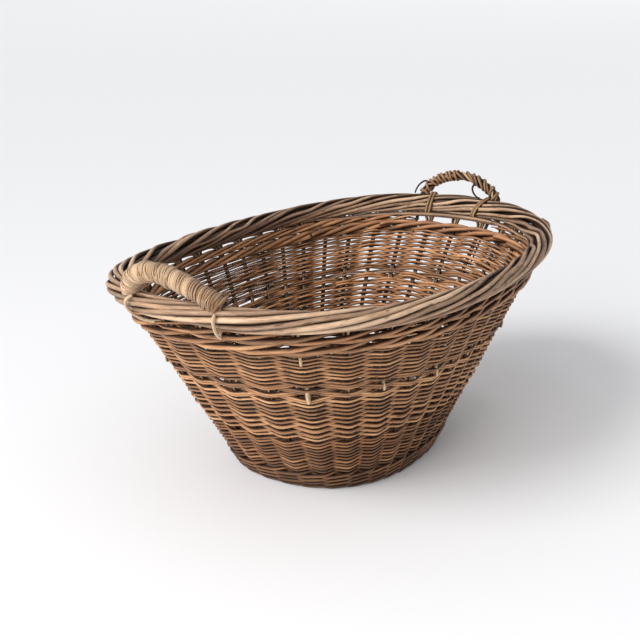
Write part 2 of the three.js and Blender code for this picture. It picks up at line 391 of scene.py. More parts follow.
def mix_colour(tree, factor, first, second, blend="MIX"):
    """The first colour, mixed with the second or multiplied by it as the factor says."""
    node = tree.nodes.new("ShaderNodeMix")
    node.data_type = "RGBA"
    node.blend_type = blend
    sockets = (node.inputs["Factor"], node.inputs[6], node.inputs[7])
    for socket, value in zip(sockets, (factor, first, second)):
        if isinstance(value, (int, float)):
            socket.default_value = value
        elif isinstance(value, tuple):
            socket.default_value = (*value, 1)
        else:
            tree.links.new(value, socket)
    return node.outputs[2]


def attribute(tree, name):
    """A vector that Rods keeps at each corner."""
    node = tree.nodes.new("ShaderNodeAttribute")
    node.attribute_name = name
    return node.outputs["Vector"]


def rod_look(tree):
    """A rod's tone, how far this side of it faces out of its bundle, and how much painted shade it
    has.
    """
    look = tree.nodes.new("ShaderNodeSeparateXYZ")
    tree.links.new(attribute(tree, "rod_look"), look.inputs[0])
    return look.outputs


def add_bump(tree, shader, height, strength, distance):
    """Relief that is too fine for the mesh."""
    bump = tree.nodes.new("ShaderNodeBump")
    bump.inputs["Strength"].default_value = strength
    bump.inputs["Distance"].default_value = distance
    tree.links.new(height, bump.inputs["Height"])
    tree.links.new(bump.outputs["Normal"], shader.inputs["Normal"])


def summed(tree, factor, parts):
    """A factor with weighted parts added, each first centred on 0."""
    for part, weight in parts:
        centred = math_node(tree, "SUBTRACT", part, 0.5)
        factor = math_node(tree, "ADD", factor, math_node(tree, "MULTIPLY", centred, weight))
    return factor


def willow(name, stops, worn, worn_share, gloss=0.52, woven=True, ground_darkening=0.0):
    """Brown willow: its own tone for each rod, blotches and streaks along it, leaf scars,
    painted shade in the gaps between rods and paler wear on what stands out. Painted shade
    makes it redder where it faces into the basket or lies deep. Woven rods show both faces of
    the wall; the others only the side that faces out of their bundle. Its last argument makes them
    darker near the ground."""
    material, tree, shader = shader_tree(name)
    links = tree.links
    place = attribute(tree, "rod_place")
    tone, facing, painted_dimness = rod_look(tree)

    blotches = stretched_noise(tree, place, (34, 170, 170), detail=4)
    streaks = stretched_noise(tree, place, (60, 1400, 1400), detail=2)
    scars = stretched_noise(tree, place, (70, 260, 260), detail=1)
    where = tree.nodes.new("ShaderNodeNewGeometry").outputs["Position"]
    stains = stretched_noise(tree, where, (7, 7, 9), detail=2)

    factor = math_node(tree, "MULTIPLY", tone, 0.64)
    factor = summed(tree, factor, [(blotches, 0.85), (streaks, 0.62), (stains, 0.42)])
    factor = math_node(tree, "ADD", factor, 0.18, clamp=True)
    colour = colour_ramp(tree, factor, stops)

    # Painted shade: redder where shade lies deep and, in woven rods, on the side that faces into
    # the basket.
    reddened_shade = math_node(tree, "MULTIPLY", painted_dimness, 2.0, clamp=True)
    if woven:
        inward = math_node(tree, "MULTIPLY", facing, -0.45)
        reddened_shade = math_node(tree, "MAXIMUM", reddened_shade, inward)
    colour = mix_colour(tree, reddened_shade, colour, SHADE_REDDENING, "MULTIPLY")

    outward = math_node(tree, "ABSOLUTE" if woven else "MAXIMUM", facing, 0.0)
    wear = math_node(tree, "MULTIPLY", outward, outward)
    patches = math_node(tree, "MULTIPLY", streaks, 2 * worn_share)
    colour = mix_colour(tree, math_node(tree, "MULTIPLY", wear, patches), colour, worn)

    # Painted shade: darker on the faces that turn to neighbouring rods and where Rods keeps
    # painted shade.
    gap_shade = math_node(tree, "SUBTRACT", 0.80, outward, clamp=True)
    painted_shade = math_node(tree, "MULTIPLY", gap_shade, 1.45)
    painted_shade = math_node(tree, "ADD", painted_shade, painted_dimness, clamp=True)
    colour = mix_colour(tree, painted_shade, colour, SCAR_AND_SHADE_BROWN)

    scar = math_node(tree, "MULTIPLY", math_node(tree, "SUBTRACT", scars, 0.62, clamp=True), 6.0)
    colour = mix_colour(tree, math_node(tree, "MINIMUM", scar, 0.6), colour, SCAR_AND_SHADE_BROWN)
    # Darker towards the ground.
    if ground_darkening:
        height = tree.nodes.new("ShaderNodeSeparateXYZ")
        links.new(where, height.inputs[0])
        share = math_node(tree, "DIVIDE", height.outputs[2], GROUND_DARK_HEIGHT)
        low = math_node(tree, "SUBTRACT", 1.0, share)
        ground = math_node(tree, "MULTIPLY", math_node(tree, "MAXIMUM", low, 0.0), ground_darkening)
        colour = mix_colour(tree, ground, colour, SCAR_AND_SHADE_BROWN)
    links.new(colour, shader.inputs["Base Color"])

    rough = math_node(tree, "MULTIPLY", streaks, 0.3)
    links.new(math_node(tree, "ADD", rough, gloss - 0.12), shader.inputs["Roughness"])
    shader.inputs["Specular IOR Level"].default_value = 0.30
    relief = math_node(tree, "ADD", math_node(tree, "MULTIPLY", streaks, 0.6), blotches)
    add_bump(tree, shader, relief, strength=0.55, distance=0.6 * MM)
    return material


def twine_fibre(name):
    """Jute twine: fine fibres along each turn, browner where hands and dirt reached."""
    material, tree, shader = shader_tree(name)
    place = attribute(tree, "rod_place")
    tone, _, painted_dimness = rod_look(tree)
    fibres = stretched_noise(tree, place, (260, 2600, 2600), detail=3)
    where = tree.nodes.new("ShaderNodeNewGeometry").outputs["Position"]
    stains = stretched_noise(tree, where, (28, 28, 34), detail=3)
    factor = math_node(tree, "MULTIPLY", fibres, 0.5)
    factor = math_node(tree, "ADD", factor, math_node(tree, "MULTIPLY", stains, 0.55))
    factor = math_node(tree, "ADD", factor, math_node(tree, "MULTIPLY", tone, 0.2))
    # Painted shade from Rods makes the twine darker.
    factor = math_node(tree, "SUBTRACT", factor, painted_dimness)
    stops = [
        (0.22, (0.10, 0.045, 0.018)),
        (0.42, (0.27, 0.155, 0.080)),
        (0.60, (0.46, 0.310, 0.185)),
        (0.85, (0.68, 0.510, 0.345)),
    ]
    tree.links.new(colour_ramp(tree, factor, stops), shader.inputs["Base Color"])
    shader.inputs["Roughness"].default_value = 0.88
    shader.inputs["Specular IOR Level"].default_value = 0.2
    shader.inputs["Sheen Weight"].default_value = 0.25
    add_bump(tree, shader, fibres, strength=0.8, distance=0.5 * MM)
    return material


weave_willow = willow(
    "weave_willow",
    [
        (0.06, (0.041, 0.012, 0.004)),
        (0.30, (0.153, 0.052, 0.017)),
        (0.58, (0.321, 0.137, 0.053)),
        (0.88, (0.612, 0.338, 0.161)),
    ],
    worn=(0.755, 0.460, 0.249), worn_share=0.30,
)
lower_willow = willow(
    "lower_willow",
    [
        (0.06, (0.034, 0.010, 0.003)),
        (0.34, (0.125, 0.041, 0.013)),
        (0.62, (0.255, 0.101, 0.037)),
        (0.92, (0.450, 0.230, 0.101)),
    ],
    worn=(0.580, 0.333, 0.164), worn_share=0.24, ground_darkening=0.75,
)
border_willow = willow(
    "border_willow",
    [
        (0.06, (0.054, 0.021, 0.009)),
        (0.30, (0.170, 0.083, 0.040)),
        (0.58, (0.335, 0.191, 0.107)),
        (0.88, (0.609, 0.419, 0.273)),
    ],
    worn=(0.731, 0.524, 0.364), worn_share=0.28, gloss=0.55, woven=False,
)
stake_willow = willow(
    "stake_willow",
    [
        (0.1, (0.14, 0.06, 0.025)),
        (0.4, (0.30, 0.16, 0.075)),
        (0.7, (0.52, 0.34, 0.18)),
        (0.95, (0.74, 0.56, 0.36)),
    ],
    worn=(0.80, 0.63, 0.42), worn_share=0.4,
)
base_willow = willow(
    "base_willow",
    [
        (0.08, (0.045, 0.018, 0.008)),
        (0.36, (0.130, 0.060, 0.027)),
        (0.64, (0.250, 0.135, 0.066)),
        (0.92, (0.410, 0.260, 0.145)),
    ],
    worn=(0.48, 0.32, 0.19), worn_share=0.22,
)
handle_willow = willow(
    "handle_willow",
    [
        (0.08, (0.039, 0.014, 0.005)),
        (0.34, (0.141, 0.056, 0.021)),
        (0.62, (0.291, 0.146, 0.060)),
        (0.9, (0.545, 0.357, 0.185)),
    ],
    worn=(0.658, 0.461, 0.258), worn_share=0.3, gloss=0.48, woven=False,
)
twine = twine_fibre("twine")

# ---- weaving ----

# For 2, 3 or 4 strands: how far a strand climbs beside the others, and how high one row of
# them is, both in rod radii.
CLIMB = {2: 1.0, 3: 1.16, 4: 1.42}
ROW_HEIGHT = {2: 4.0, 3: 3.9, 4: 4.8}
DWELL = 0.42  # how much longer two strands lie side by side than they take to pass a stake
PLY_SPACING = 0.97  # between doubled rods, in rod radii

# A rod starts this many stake spacings before the place where it meets the last one, and
# ends this many after it meets the next, where its end turns into the basket.
EARLY_START = 0.3
LATE_END = 0.45
TUCK_START = 0.5
TUCK_LENGTH = 0.8
TUCK_DEPTH = 2.1  # in rod radii

# The ends of a row that leaves part of the wall open thin out to a tip.
SPAN_TAPER = 1.6
SPAN_TIP = 0.35


def strand_phase(s, strands, strand):
    """A strand's turn about its row's middle line: 0 outside a stake, a half turn inside."""
    if strands == 2:
        return np.pi * (s + DWELL * np.sin(2 * np.pi * s) / (2 * np.pi) + strand)
    return 2 * np.pi * (s + strand + 0.5) / strands


def strand_reach(phase, strands):
    """How far out a twined strand lies, from -1 inside to 1 outside a stake."""
    if strands == 3:
        return np.minimum((4 * np.cos(phase) + 1) / 3, 1.12)
    if strands == 4:
        return np.clip(1.42 * np.cos(phase), -1.1, 1.1)
    return np.cos(phase)


def rod_joins(strands, strand, options):
    """Places where a strand's rods meet: inside a stake, or evenly along a row's span."""
    if "span" in options:
        return np.linspace(*options["span"], options["rods_per_round"] + 1)
    inside = {2: 1 - strand, 3: 1 - strand, 4: 1.5 - strand}[strands]
    choices = np.arange(STAKES // strands)
    joins = np.sort(random.choice(choices, options["rods_per_round"], replace=False))
    joins = inside + strands * joins.astype(float)
    return np.append(joins, joins[0] + STAKES)


def tightness(s):
    """How closely the plain rows are packed round the basket: closest at the far end and
    loosest along the +Y side."""
    turn = 2 * np.pi * s / STAKES
    return 1 + 0.07 * np.cos(turn) - 0.05 * np.sin(turn) + 0.06 * np.cos(2 * turn)


def rod_thickness(s, begin, end, even, options):
    """The radius of one rod of a row, from its thick end to its thin one."""
    butt = random.uniform(1.02, 1.14)
    tip = random.uniform(0.86, 0.98)
    thick = even * (butt + (tip - butt) * (s - begin) / (end - begin))
    if "span" in options:
        thick = thick * (SPAN_TIP + (1 - SPAN_TIP) * from_ends(s, SPAN_TAPER))
    return thick


def woven_row(rods, level_at, pitch, options):
    """One row of strands between the stakes. Twisted strands turn about each other, and the
    others lie in rows of their own, in front of every other stake. level_at(s) is the row's
    level and pitch its height as a share of the rim's."""
    strands = options["strands"]
    plies = options["plies"]
    fullness = options["fullness"] * random.uniform(0.93, 1.07)
    for strand in range(strands):
        joins = rod_joins(strands, strand, options)
        for begin, end in zip(joins[:-1], joins[1:]):
            tone = random.uniform(0, 1)
            s = np.arange(begin - EARLY_START, end + LATE_END, 1 / options["steps"])
            point, outward, upward, stretch = wall_frame(s, level_at(s))
            even = fullness * pitch * stretch / ROW_HEIGHT[strands] / plies
            if not options["twisted"]:
                even = even * tightness(s)
            thick = rod_thickness(s, begin, end, even, options)
            phase = strand_phase(s, strands, strand)
            side = strand_reach(phase, strands)
            tuck = smoothstep((s - end + TUCK_START) / TUCK_LENGTH) * TUCK_DEPTH * even
            reach = (STAKE_RADIUS + even) * side - tuck
            for ply in range(plies):
                rise = (2 * ply - plies + 1) * even * PLY_SPACING
                if options["twisted"]:
                    rise = rise + CLIMB[strands] * even * plies * np.sin(phase)
                else:
                    rise = rise + even * plies * (2 * strand - 1)
                centre = point + outward * reach[:, None] + upward * rise[:, None]
                ply_tone = np.clip(tone + random.normal(0, 0.05), 0, 1)
                radii = thick * uneven(len(s), 0.055)
                # The lowest rods lie on the ground.
                centre[:, 2] = np.maximum(centre[:, 2], radii)
                rods.add(centre, radii, outward, tone=ply_tone, reach=side)


def band_levels(node):
    """The levels of a CAD band's bottom and top."""
    low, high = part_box(node)
    return low[2] / (RIM_HEIGHT - RIM_RISE / 2), high[2] / (RIM_HEIGHT + RIM_RISE / 2)


SLEW_LEVEL = 0.55  # where the rows of double rods begin
GAP_LEVEL = 0.60  # rows part most here
GAP_SIZE = 2.5 * MM
GAP_HALF_WIDTH = 0.42  # in stake spacings
GAP_FADE = 9 * MM
UPPER_WALE_TOP = 0.905
# The second row of the top wale leaves the far end open between these two places.
UPPER_WALE_SPAN = (place_of_y(78 * MM, 1), place_of_y(-108 * MM, 1))

FOOT_BOTTOM = 0.010
LOWER_MARGIN = 0.004  # bare stake above the lower rows
MIDDLE_MARGIN = 0.008  # bare stake under the middle rows
STEADY_BELOW = 0.1  # bands that start lower than this wander less
ROW_WANDER = 0.45 * MM
ROW_HEIGHT_SPREAD = 0.11

gap_places = random.choice(np.arange(STAKES), 16, replace=False)
gap_sizes = random.uniform(0.4, 1.0, len(gap_places)) * GAP_SIZE
band_drift = wander(STAKES, 1.5 * MM)


def parted(s, level):
    """How far the rows part at some stakes round GAP_LEVEL, so that the stakes show."""
    push = np.zeros_like(s)
    for place, size in zip(gap_places, gap_sizes):
        near = np.abs((s - place + STAKES / 2) % STAKES - STAKES / 2)
        push = push + size * np.exp(-((near / GAP_HALF_WIDTH) ** 2))
    distance = (level - GAP_LEVEL) * RIM_HEIGHT / GAP_FADE
    return push * np.sign(distance) * np.exp(-np.abs(distance) * 0.6)


def weave_rows(name, node, material, bottom, top, rows, **options):
    """Rows of woven rods between two levels, as one piece that stands for a CAD band."""
    settings = dict(
        strands=2, twisted=False, plies=1, steps=8, fullness=1.08, rods_per_round=2,
    )
    settings.update(options)
    rods = Rods(sides=8)
    heights = random.normal(1, ROW_HEIGHT_SPREAD, rows)
    edges = bottom + (top - bottom) * np.concatenate([[0], np.cumsum(heights)]) / heights.sum()
    freedom = min(1, bottom / STEADY_BELOW)
    for row in range(rows):
        middle = (edges[row] + edges[row + 1]) / 2
        own = wander(STAKES, ROW_WANDER)

        def level_at(s, middle=middle, own=own):
            drift = (band_drift(s) + own(s) + parted(s, middle)) / RIM_HEIGHT
            return middle + drift * freedom * min(1, (1 - middle) * 4)

        woven_row(rods, level_at, edges[row + 1] - edges[row], settings)
    finish_piece(rods, name, material, node)


def weave_wall():
    """All the bands of the wall, from the ground up. Tall bands are made in two pieces."""
    foot = band_levels("foot_wale")
    lower = band_levels("lower_weave")
    middle = band_levels("middle_weave")
    upper = band_levels("upper_weave")
    top = band_levels("top_wale")
    dark, brown = lower_willow, weave_willow
    weave_rows(
        "foot_wale_rods", "foot_wale", dark, FOOT_BOTTOM, foot[1], rows=4,
        strands=3, twisted=True, rods_per_round=1, steps=7,
    )
    half = (lower[0] + lower[1]) / 2
    lower_top = lower[1] - LOWER_MARGIN
    paired = dict(rows=5, twisted=True, rods_per_round=1)
    weave_rows("lower_rows_1", "lower_weave", dark, lower[0], half, **paired)
    weave_rows("lower_rows_2", "lower_weave", dark, half, lower_top, **paired)
    bottom = middle[0] + MIDDLE_MARGIN
    half = (bottom + SLEW_LEVEL) / 2
    weave_rows("middle_rows_1", "middle_weave", brown, bottom, half, rows=4)
    weave_rows("middle_rows_2", "middle_weave", brown, half, SLEW_LEVEL, rows=5)
    weave_rows("slewed_rows", "middle_weave", brown, SLEW_LEVEL, middle[1], rows=2, plies=2)
    weave_rows("upper_rows", "upper_weave", brown, upper[0], upper[1], rows=9)
    half = (top[0] + UPPER_WALE_TOP) / 2
    wale = dict(rows=1, strands=4, twisted=True, steps=6)
    weave_rows("top_wale_rods_1", "top_wale", brown, top[0], half, **wale)
    weave_rows(
        "top_wale_rods_2", "top_wale", brown, half, UPPER_WALE_TOP,
        span=UPPER_WALE_SPAN, fullness=0.92, **wale,
    )


# ---- stakes ----

STAKE_BOTTOM = 0.012
STAKE_TOP = BORDER_LEVEL - 0.01
OPEN_LEVEL = 0.84  # above this the stakes stand free of the weave
IN_WEAVE = 0.78  # a stake's radius inside the weave, as a share of its free one


def stake_rods():
    """Each stake with its bye-stake beside it, as the far end of the photograph shows them.
    Inside the weave they lie closer and thinner, and are painted darker there as shade."""
    level = np.linspace(STAKE_BOTTOM, STAKE_TOP, 40)
    at_gap = np.exp(-(((level - GAP_LEVEL) / 0.03) ** 2))
    bare = at_gap + smoothstep((level - OPEN_LEVEL) / 0.04)
    open_top = smoothstep((level - OPEN_LEVEL) / 0.12)
    apart = STAKE_RADIUS * (0.62 + 0.76 * open_top)
    slimness = IN_WEAVE + (1 - IN_WEAVE) * open_top
    for index in range(STAKES):
        rods = Rods(sides=10)
        sway = wander(1, 0.3 * MM)
        point, outward, upward, _ = wall_frame(np.full_like(level, index), level)
        along = np.cross(upward, outward)
        point = point + along * sway(level * 0.6)[:, None]
        for side, shown in ((-1, 0.3), (1, 1.0)):
            radius = STAKE_RADIUS * random.uniform(0.78, 0.92) * uneven(len(level), 0.02)
            beside = point + along * (side * apart)[:, None]
            # Painted shade darkens the stakes inside the weave; one of each pair is left paler
            # where the rows part and above the weave.
            painted_dim = 0.88 * (1 - 0.85 * shown * bare)
            rods.add(beside, radius * slimness, outward, tone=random.uniform(0.3, 1), shade=painted_dim)
        name = f"stake_{index + 1:02d}"
        finish_piece(rods, name + "_rod", stake_willow, name)


# ---- border ----


def border_point(angle, turn, reach):
    """Points round the border's middle line. turn, in degrees, is 0 at its outside and 90 at
    its top, and reach is 1 at its surface."""
    rise = BORDER_HALF_HEIGHT * reach * np.sin(np.radians(turn))
    offset = BORDER_HALF_WIDTH * reach * np.cos(np.radians(turn))
    return wall_point(angle, BORDER_LEVEL + rise / RIM_HEIGHT, offset)


def beside_border(s, turn, reach):
    """Such points at places in stake spacings, and the directions out of the border there."""
    points = border_point(angle_at(s), turn, reach)
    return points, unit(points - wall(s, BORDER_LEVEL))


# A border rod's way, as [stake spacings after its stake, turn in degrees, reach]: up beside
# its stake, outward under the border, across its outside and top, and down its inside.
BORDER_WAY = [
    [0.10, -90, 3.0], [0.13, -90, 1.8], [0.35, -98, 0.88], [1.0, -80, 0.80], [2.0, -46, 0.80],
    [3.0, -14, 0.80], [3.8, 18, 0.80], [4.5, 46, 0.82], [5.3, 76, 0.88], [6.2, 108, 0.90],
    [7.0, 138, 0.86], [7.8, 164, 0.80], [8.7, 190, 0.78], [9.6, 218, 0.78], [10.4, 244, 0.72],
    [10.9, 258, 0.52],
]
BORDER_TAPER = ([0, 0.12, 0.3, 0.7, 1], [0.66, 0.9, 1.06, 1.0, 0.72])
BORDER_PIECES = 3
INNER_TURN = 125  # past this turn, in degrees, a rod lies on the inside of the border

CORE_TURNS = (0, 72, 144, 216, 288)
CORE_REACH = 0.42
CORE_RADIUS = 3.4 * MM
# Long rods under the border, as (turn in degrees, first place, last place).
UNDER_RODS = ((232, -5.5, 4.5), (258, -3.6, 6.3))
UNDER_RADIUS = 3.1 * MM


def border_rods():
    """The bent tops of the stakes, painted darker and redder on the inside of the rim as shade,
    except at the far end.
    """
    for part in range(BORDER_PIECES):
        rods = Rods(sides=12)
        for index in range(part, STAKES, BORDER_PIECES):
            way = np.array(BORDER_WAY, float)
            way[2:, 1] += random.normal(0, 5.0, len(way) - 2)
            way[3:, 2] += random.normal(0, 0.035, len(way) - 3)
            way[3:, 0] += random.normal(0, 0.15)
            path = curve_through(way, 150)
            points, guides = beside_border(index + path[:, 0], path[:, 1], path[:, 2])
            thick = BORDER_ROD_RADIUS * random.uniform(0.84, 1.10)
            shape = np.interp(np.linspace(0, 1, len(path)), *BORDER_TAPER)
            # Painted shade on the inside of the rim, weaker towards the far end.
            brown = 0.52 - 0.40 * smoothstep((points[:, 0] - 90 * MM) / (180 * MM))
            inner = brown * smoothstep((path[:, 1] - INNER_TURN) / 50)
            rods.add(points, thick * shape * uneven(len(path), 0.035), guides, shade=inner)
        finish_piece(rods, f"border_rods_{part + 1}", border_willow, "rod_border")


def border_core():
    """The tails of the stakes along the middle of the border, and two long rods laid under
    it at the far end."""
    rods = Rods(sides=8)
    s = np.arange(0, STAKES + 0.6, 0.25)
    for turn in CORE_TURNS:
        points, guides = beside_border(s, turn + 30 * s, CORE_REACH)
        # The tails are painted dark as shade inside the border.
        rods.add(points, CORE_RADIUS, guides, tone=0.2, shade=0.7)
    for turn, first, last in UNDER_RODS:
        s = np.linspace(first, last, 60)
        ends = from_ends(s, 1.2)
        points, guides = beside_border(s, turn + 3 * s, 0.85 + 0.37 * ends)
        radii = UNDER_RADIUS * (0.8 + 0.2 * ends)
        rods.add(points, radii, guides, tone=random.uniform(0.4, 0.7))
    finish_piece(rods, "border_core", border_willow, "rod_border")


# ---- base ----

FLOOR_HEIGHT = 11 * MM
SLATH_HALF_LENGTH = 56 * MM  # the slath is the middle of the floor, where the sticks cross
SLATH_HALF_WIDTH = 22 * MM
LONG_STICKS = dict(count=3, spacing=14 * MM)
CROSS_STICKS = dict(count=7, spacing=16 * MM)
SPOKES = 2 * (LONG_STICKS["count"] + CROSS_STICKS["count"])
STICK_RADIUS = 2.2 * MM
STICK_LIFT = 1.6 * MM  # how far a stick lies above or below the middle of the floor
PACKING_RADIUS = 2.7 * MM
FLOOR_ROWS = 17
FLOOR_ROD_RADIUS = 1.42 * MM
UP = np.array([0.0, 0.0, 1.0])


def stick_places(sticks, extra=0):
    """Where parallel sticks lie, evenly to both sides of the middle. With one stick more or
    less, they are the places halfway between them."""
    count = sticks["count"] + extra
    return (np.arange(count) - (count - 1) / 2) * sticks["spacing"]


def spoke_starts():
    """Where the spokes leave the crossed sticks, round from the +X end."""
    long_y = stick_places(LONG_STICKS)
    cross_x = stick_places(CROSS_STICKS)
    ends = [(SLATH_HALF_LENGTH, y) for y in long_y]
    ends += [(x, SLATH_HALF_WIDTH) for x in cross_x[::-1]]
    ends += [(-SLATH_HALF_LENGTH, y) for y in long_y[::-1]]
    ends += [(x, -SLATH_HALF_WIDTH) for x in cross_x]
    return np.array(ends) + [BASE_SHIFT, 0]


def base_surface(w, t):
    """The floor, from the crossed sticks at t = 0 to the foot at t = 1. Spoke k is at w = k."""
    w = np.asarray(w, float)
    starts = spoke_starts()
    i = np.floor(w).astype(int)
    part = (w - i)[..., None]
    inner = starts[i % SPOKES] * (1 - part) + starts[(i + 1) % SPOKES] * part
    share = (w - 1) / SPOKES
    angle = share * 2 * np.pi
    outer = wall_point(angle, FLOOR_HEIGHT / RIM_HEIGHT, -WALL / 2)[..., :2]
    flat = inner + (outer - inner) * np.asarray(t, float)[..., None]
    z = np.full(flat.shape[:-1] + (1,), FLOOR_HEIGHT)
    return np.concatenate([flat, z], axis=-1)


def floor_row(rods, t):
    """One pairing row of the floor: two strands, each over one spoke and under the next."""
    for strand in range(2):
        w = np.arange(0, SPOKES + 0.35, 0.125)
        phase = np.pi * (w + strand)
        here = base_surface(w, np.full_like(w, t))
        onward = base_surface(w, np.full_like(w, t + 0.02))
        outward = unit(onward - here)
        lift = (STICK_RADIUS + FLOOR_ROD_RADIUS) * np.cos(phase)
        swing = FLOOR_ROD_RADIUS * np.sin(phase)
        points = here + UP * lift[:, None] + outward * swing[:, None]
        rods.add(points, FLOOR_ROD_RADIUS * uneven(len(w), 0.05), UP)


def base_rods():
    """The crossed sticks, which spread out into spokes, with more sticks packed between them
    in the middle, and the rows woven round the spokes."""
    samples = 24
    sticks = Rods(sides=8)
    for k, (x, y) in enumerate(spoke_starts()):
        outer = base_surface(np.array([float(k)]), np.array([0.985]))[0]
        inner = np.array([x, y, FLOOR_HEIGHT])
        crosswise = k % (SPOKES // 2) >= LONG_STICKS["count"]
        middle = np.array([x, 0.0, FLOOR_HEIGHT] if crosswise else [BASE_SHIFT, y, FLOOR_HEIGHT])
        points = curve_through([middle, inner, (inner + outer) / 2, outer], samples)
        height = STICK_LIFT if crosswise else -STICK_LIFT
        lift = height * (1 - smoothstep(np.linspace(-0.6, 1, samples)))
        sticks.add(points + UP * lift[:, None], STICK_RADIUS, UP)
    packing = [
        ([-SLATH_HALF_LENGTH, y, -STICK_LIFT], [SLATH_HALF_LENGTH, y, -STICK_LIFT])
        for y in stick_places(LONG_STICKS, extra=1)
    ]
    packing += [
        ([x, -SLATH_HALF_WIDTH, STICK_LIFT], [x, SLATH_HALF_WIDTH, STICK_LIFT])
        for x in stick_places(CROSS_STICKS, extra=-1)
    ]
    for begin, end in packing:
        points = np.linspace(begin, end, samples) + [BASE_SHIFT, 0, FLOOR_HEIGHT]
        sticks.add(points, PACKING_RADIUS * uneven(samples, 0.03), UP)
    finish_piece(sticks, "base_spokes", base_willow, "base_sticks")
    rods = Rods(sides=7)
    for row in range(FLOOR_ROWS):
        floor_row(rods, 0.03 + 0.945 * (row + 0.5) / FLOOR_ROWS)
    finish_piece(rods, "base_rows", base_willow, "base_weave")


# ---- handles ----


def feet(handle):
    """The places of a handle's two feet on the rim, in stake spacings."""
    sides = [handle["centre"] + side * handle["span"] / 2 for side in (-1, 1)]
    return [place_of_y(y, handle["end"]) for y in sides]


def arch_points(handle, samples):
    """The middle line of a handle's arch, as in the CAD."""
    tops = [wall(s, 1.0) for s in feet(handle)]
    turn = np.linspace(-np.pi / 2, np.pi / 2, samples)
    skewed = 1 + handle["skew"] * np.sin(turn)
    rise = handle["rise"] * skewed * np.clip(np.cos(turn), 0, 1) ** handle["point"]
    x = (tops[0][0] + tops[1][0]) / 2 + handle["end"] * handle["lean"] * rise
    y = handle["centre"] + handle["span"] / 2 * np.sin(turn)
    z = (tops[0][2] + tops[1][2]) / 2 + rise
    return np.stack([x, y, z], axis=1)


def bow_points(handle):
    """The arch with its legs, which run down into the wall."""
    arch = arch_points(handle, 15)
    levels = np.array([0.70, 0.78, 0.86, BORDER_LEVEL])
    legs = [wall(np.full(len(levels), s), levels) for s in feet(handle)]
    return np.vstack([legs[0], arch[1:-1], legs[1][::-1]])


def add_bow(node, handle):
    """The stiff rod inside a handle, with pointed ends."""
    samples = 120
    points = curve_through(bow_points(handle), samples)
    pointed = 0.3 + 0.55 * from_ends(np.arange(samples), 22)
    radii = BOW_RADIUS * pointed * uneven(samples, 0.02)
    guides = carried_guide(points, [1, 0, 0])
    single_rod(node, "_rod", handle_willow, 10, points, radii, guides)


def along_arch(handle, samples=400):
    """A finely sampled arch with two directions across it and the length up to each point."""
    points = arch_points(handle, samples)
    tangent = unit(np.gradient(points, axis=0))
    side = carried_guide(points, [handle["end"], 0, 0])
    top = np.cross(tangent, side)
    steps = np.linalg.norm(np.diff(points, axis=0), axis=1)
    length = np.concatenate([[0], np.cumsum(steps)])
    return points, side, top, length


def wound_turns(
    rods, arch, start, end, pitch, radius, core, slant=0.0, angle=0.0, jitter=0.0, **looks
):
    """One strand wound round an arch between two lengths along it. core(share) is how far
    its middle is from the arch's, slant leans its turns along the arch, angle is where it
    starts, and jitter how far its turns stray."""
    points, side, top, length = arch
    turns = (end - start) / pitch
    samples = int(abs(turns) * 16) + 2
    share = np.linspace(0, 1, samples)
    turned = 2 * np.pi * turns * share + angle
    place = start + (end - start) * share
    place = place + slant * np.sin(turned) + jitter * wander(1, 1.0)(share * 3)
    place = np.clip(place, 0, length[-1])

    def at(values):
        return np.stack([np.interp(place, length, values[:, k]) for k in range(3)], axis=1)

    across = at(side) * np.cos(turned)[:, None] + at(top) * np.sin(turned)[:, None]
    centre = at(points) + across * core(share)[:, None]
    rods.add(centre, radius, across, **looks)


BOUND_RADIUS = 10.6 * MM  # from the bow's middle to the middle of the outer turns
STRAND_RADIUS = 1.2 * MM
STRAND_PITCH = 1.95 * MM
STRAND_TURNS = 120  # at least as many as there are
PADDING_RADIUS = 1.7 * MM
PADDING_PITCH = 2.9 * MM
PADDING_DEPTH = 2.4 * MM
LOOSE_TURNS = 44
# Turns of the knot at the handle's -Y foot, as (start, distance from the bow, slant) in mm.
# The start also serves as the angle at which a turn begins.
KNOT_TURNS = ((1, 11.4, 3), (3.5, 12.2, -2), (6, 11.6, 4), (8, 12.3, 2), (11, 11.8, -3))
KNOT_RADIUS = 1.7 * MM
KNOT_PITCH = 2.6 * MM
KNOT_LENGTH = 3  # mm along the handle for each turn


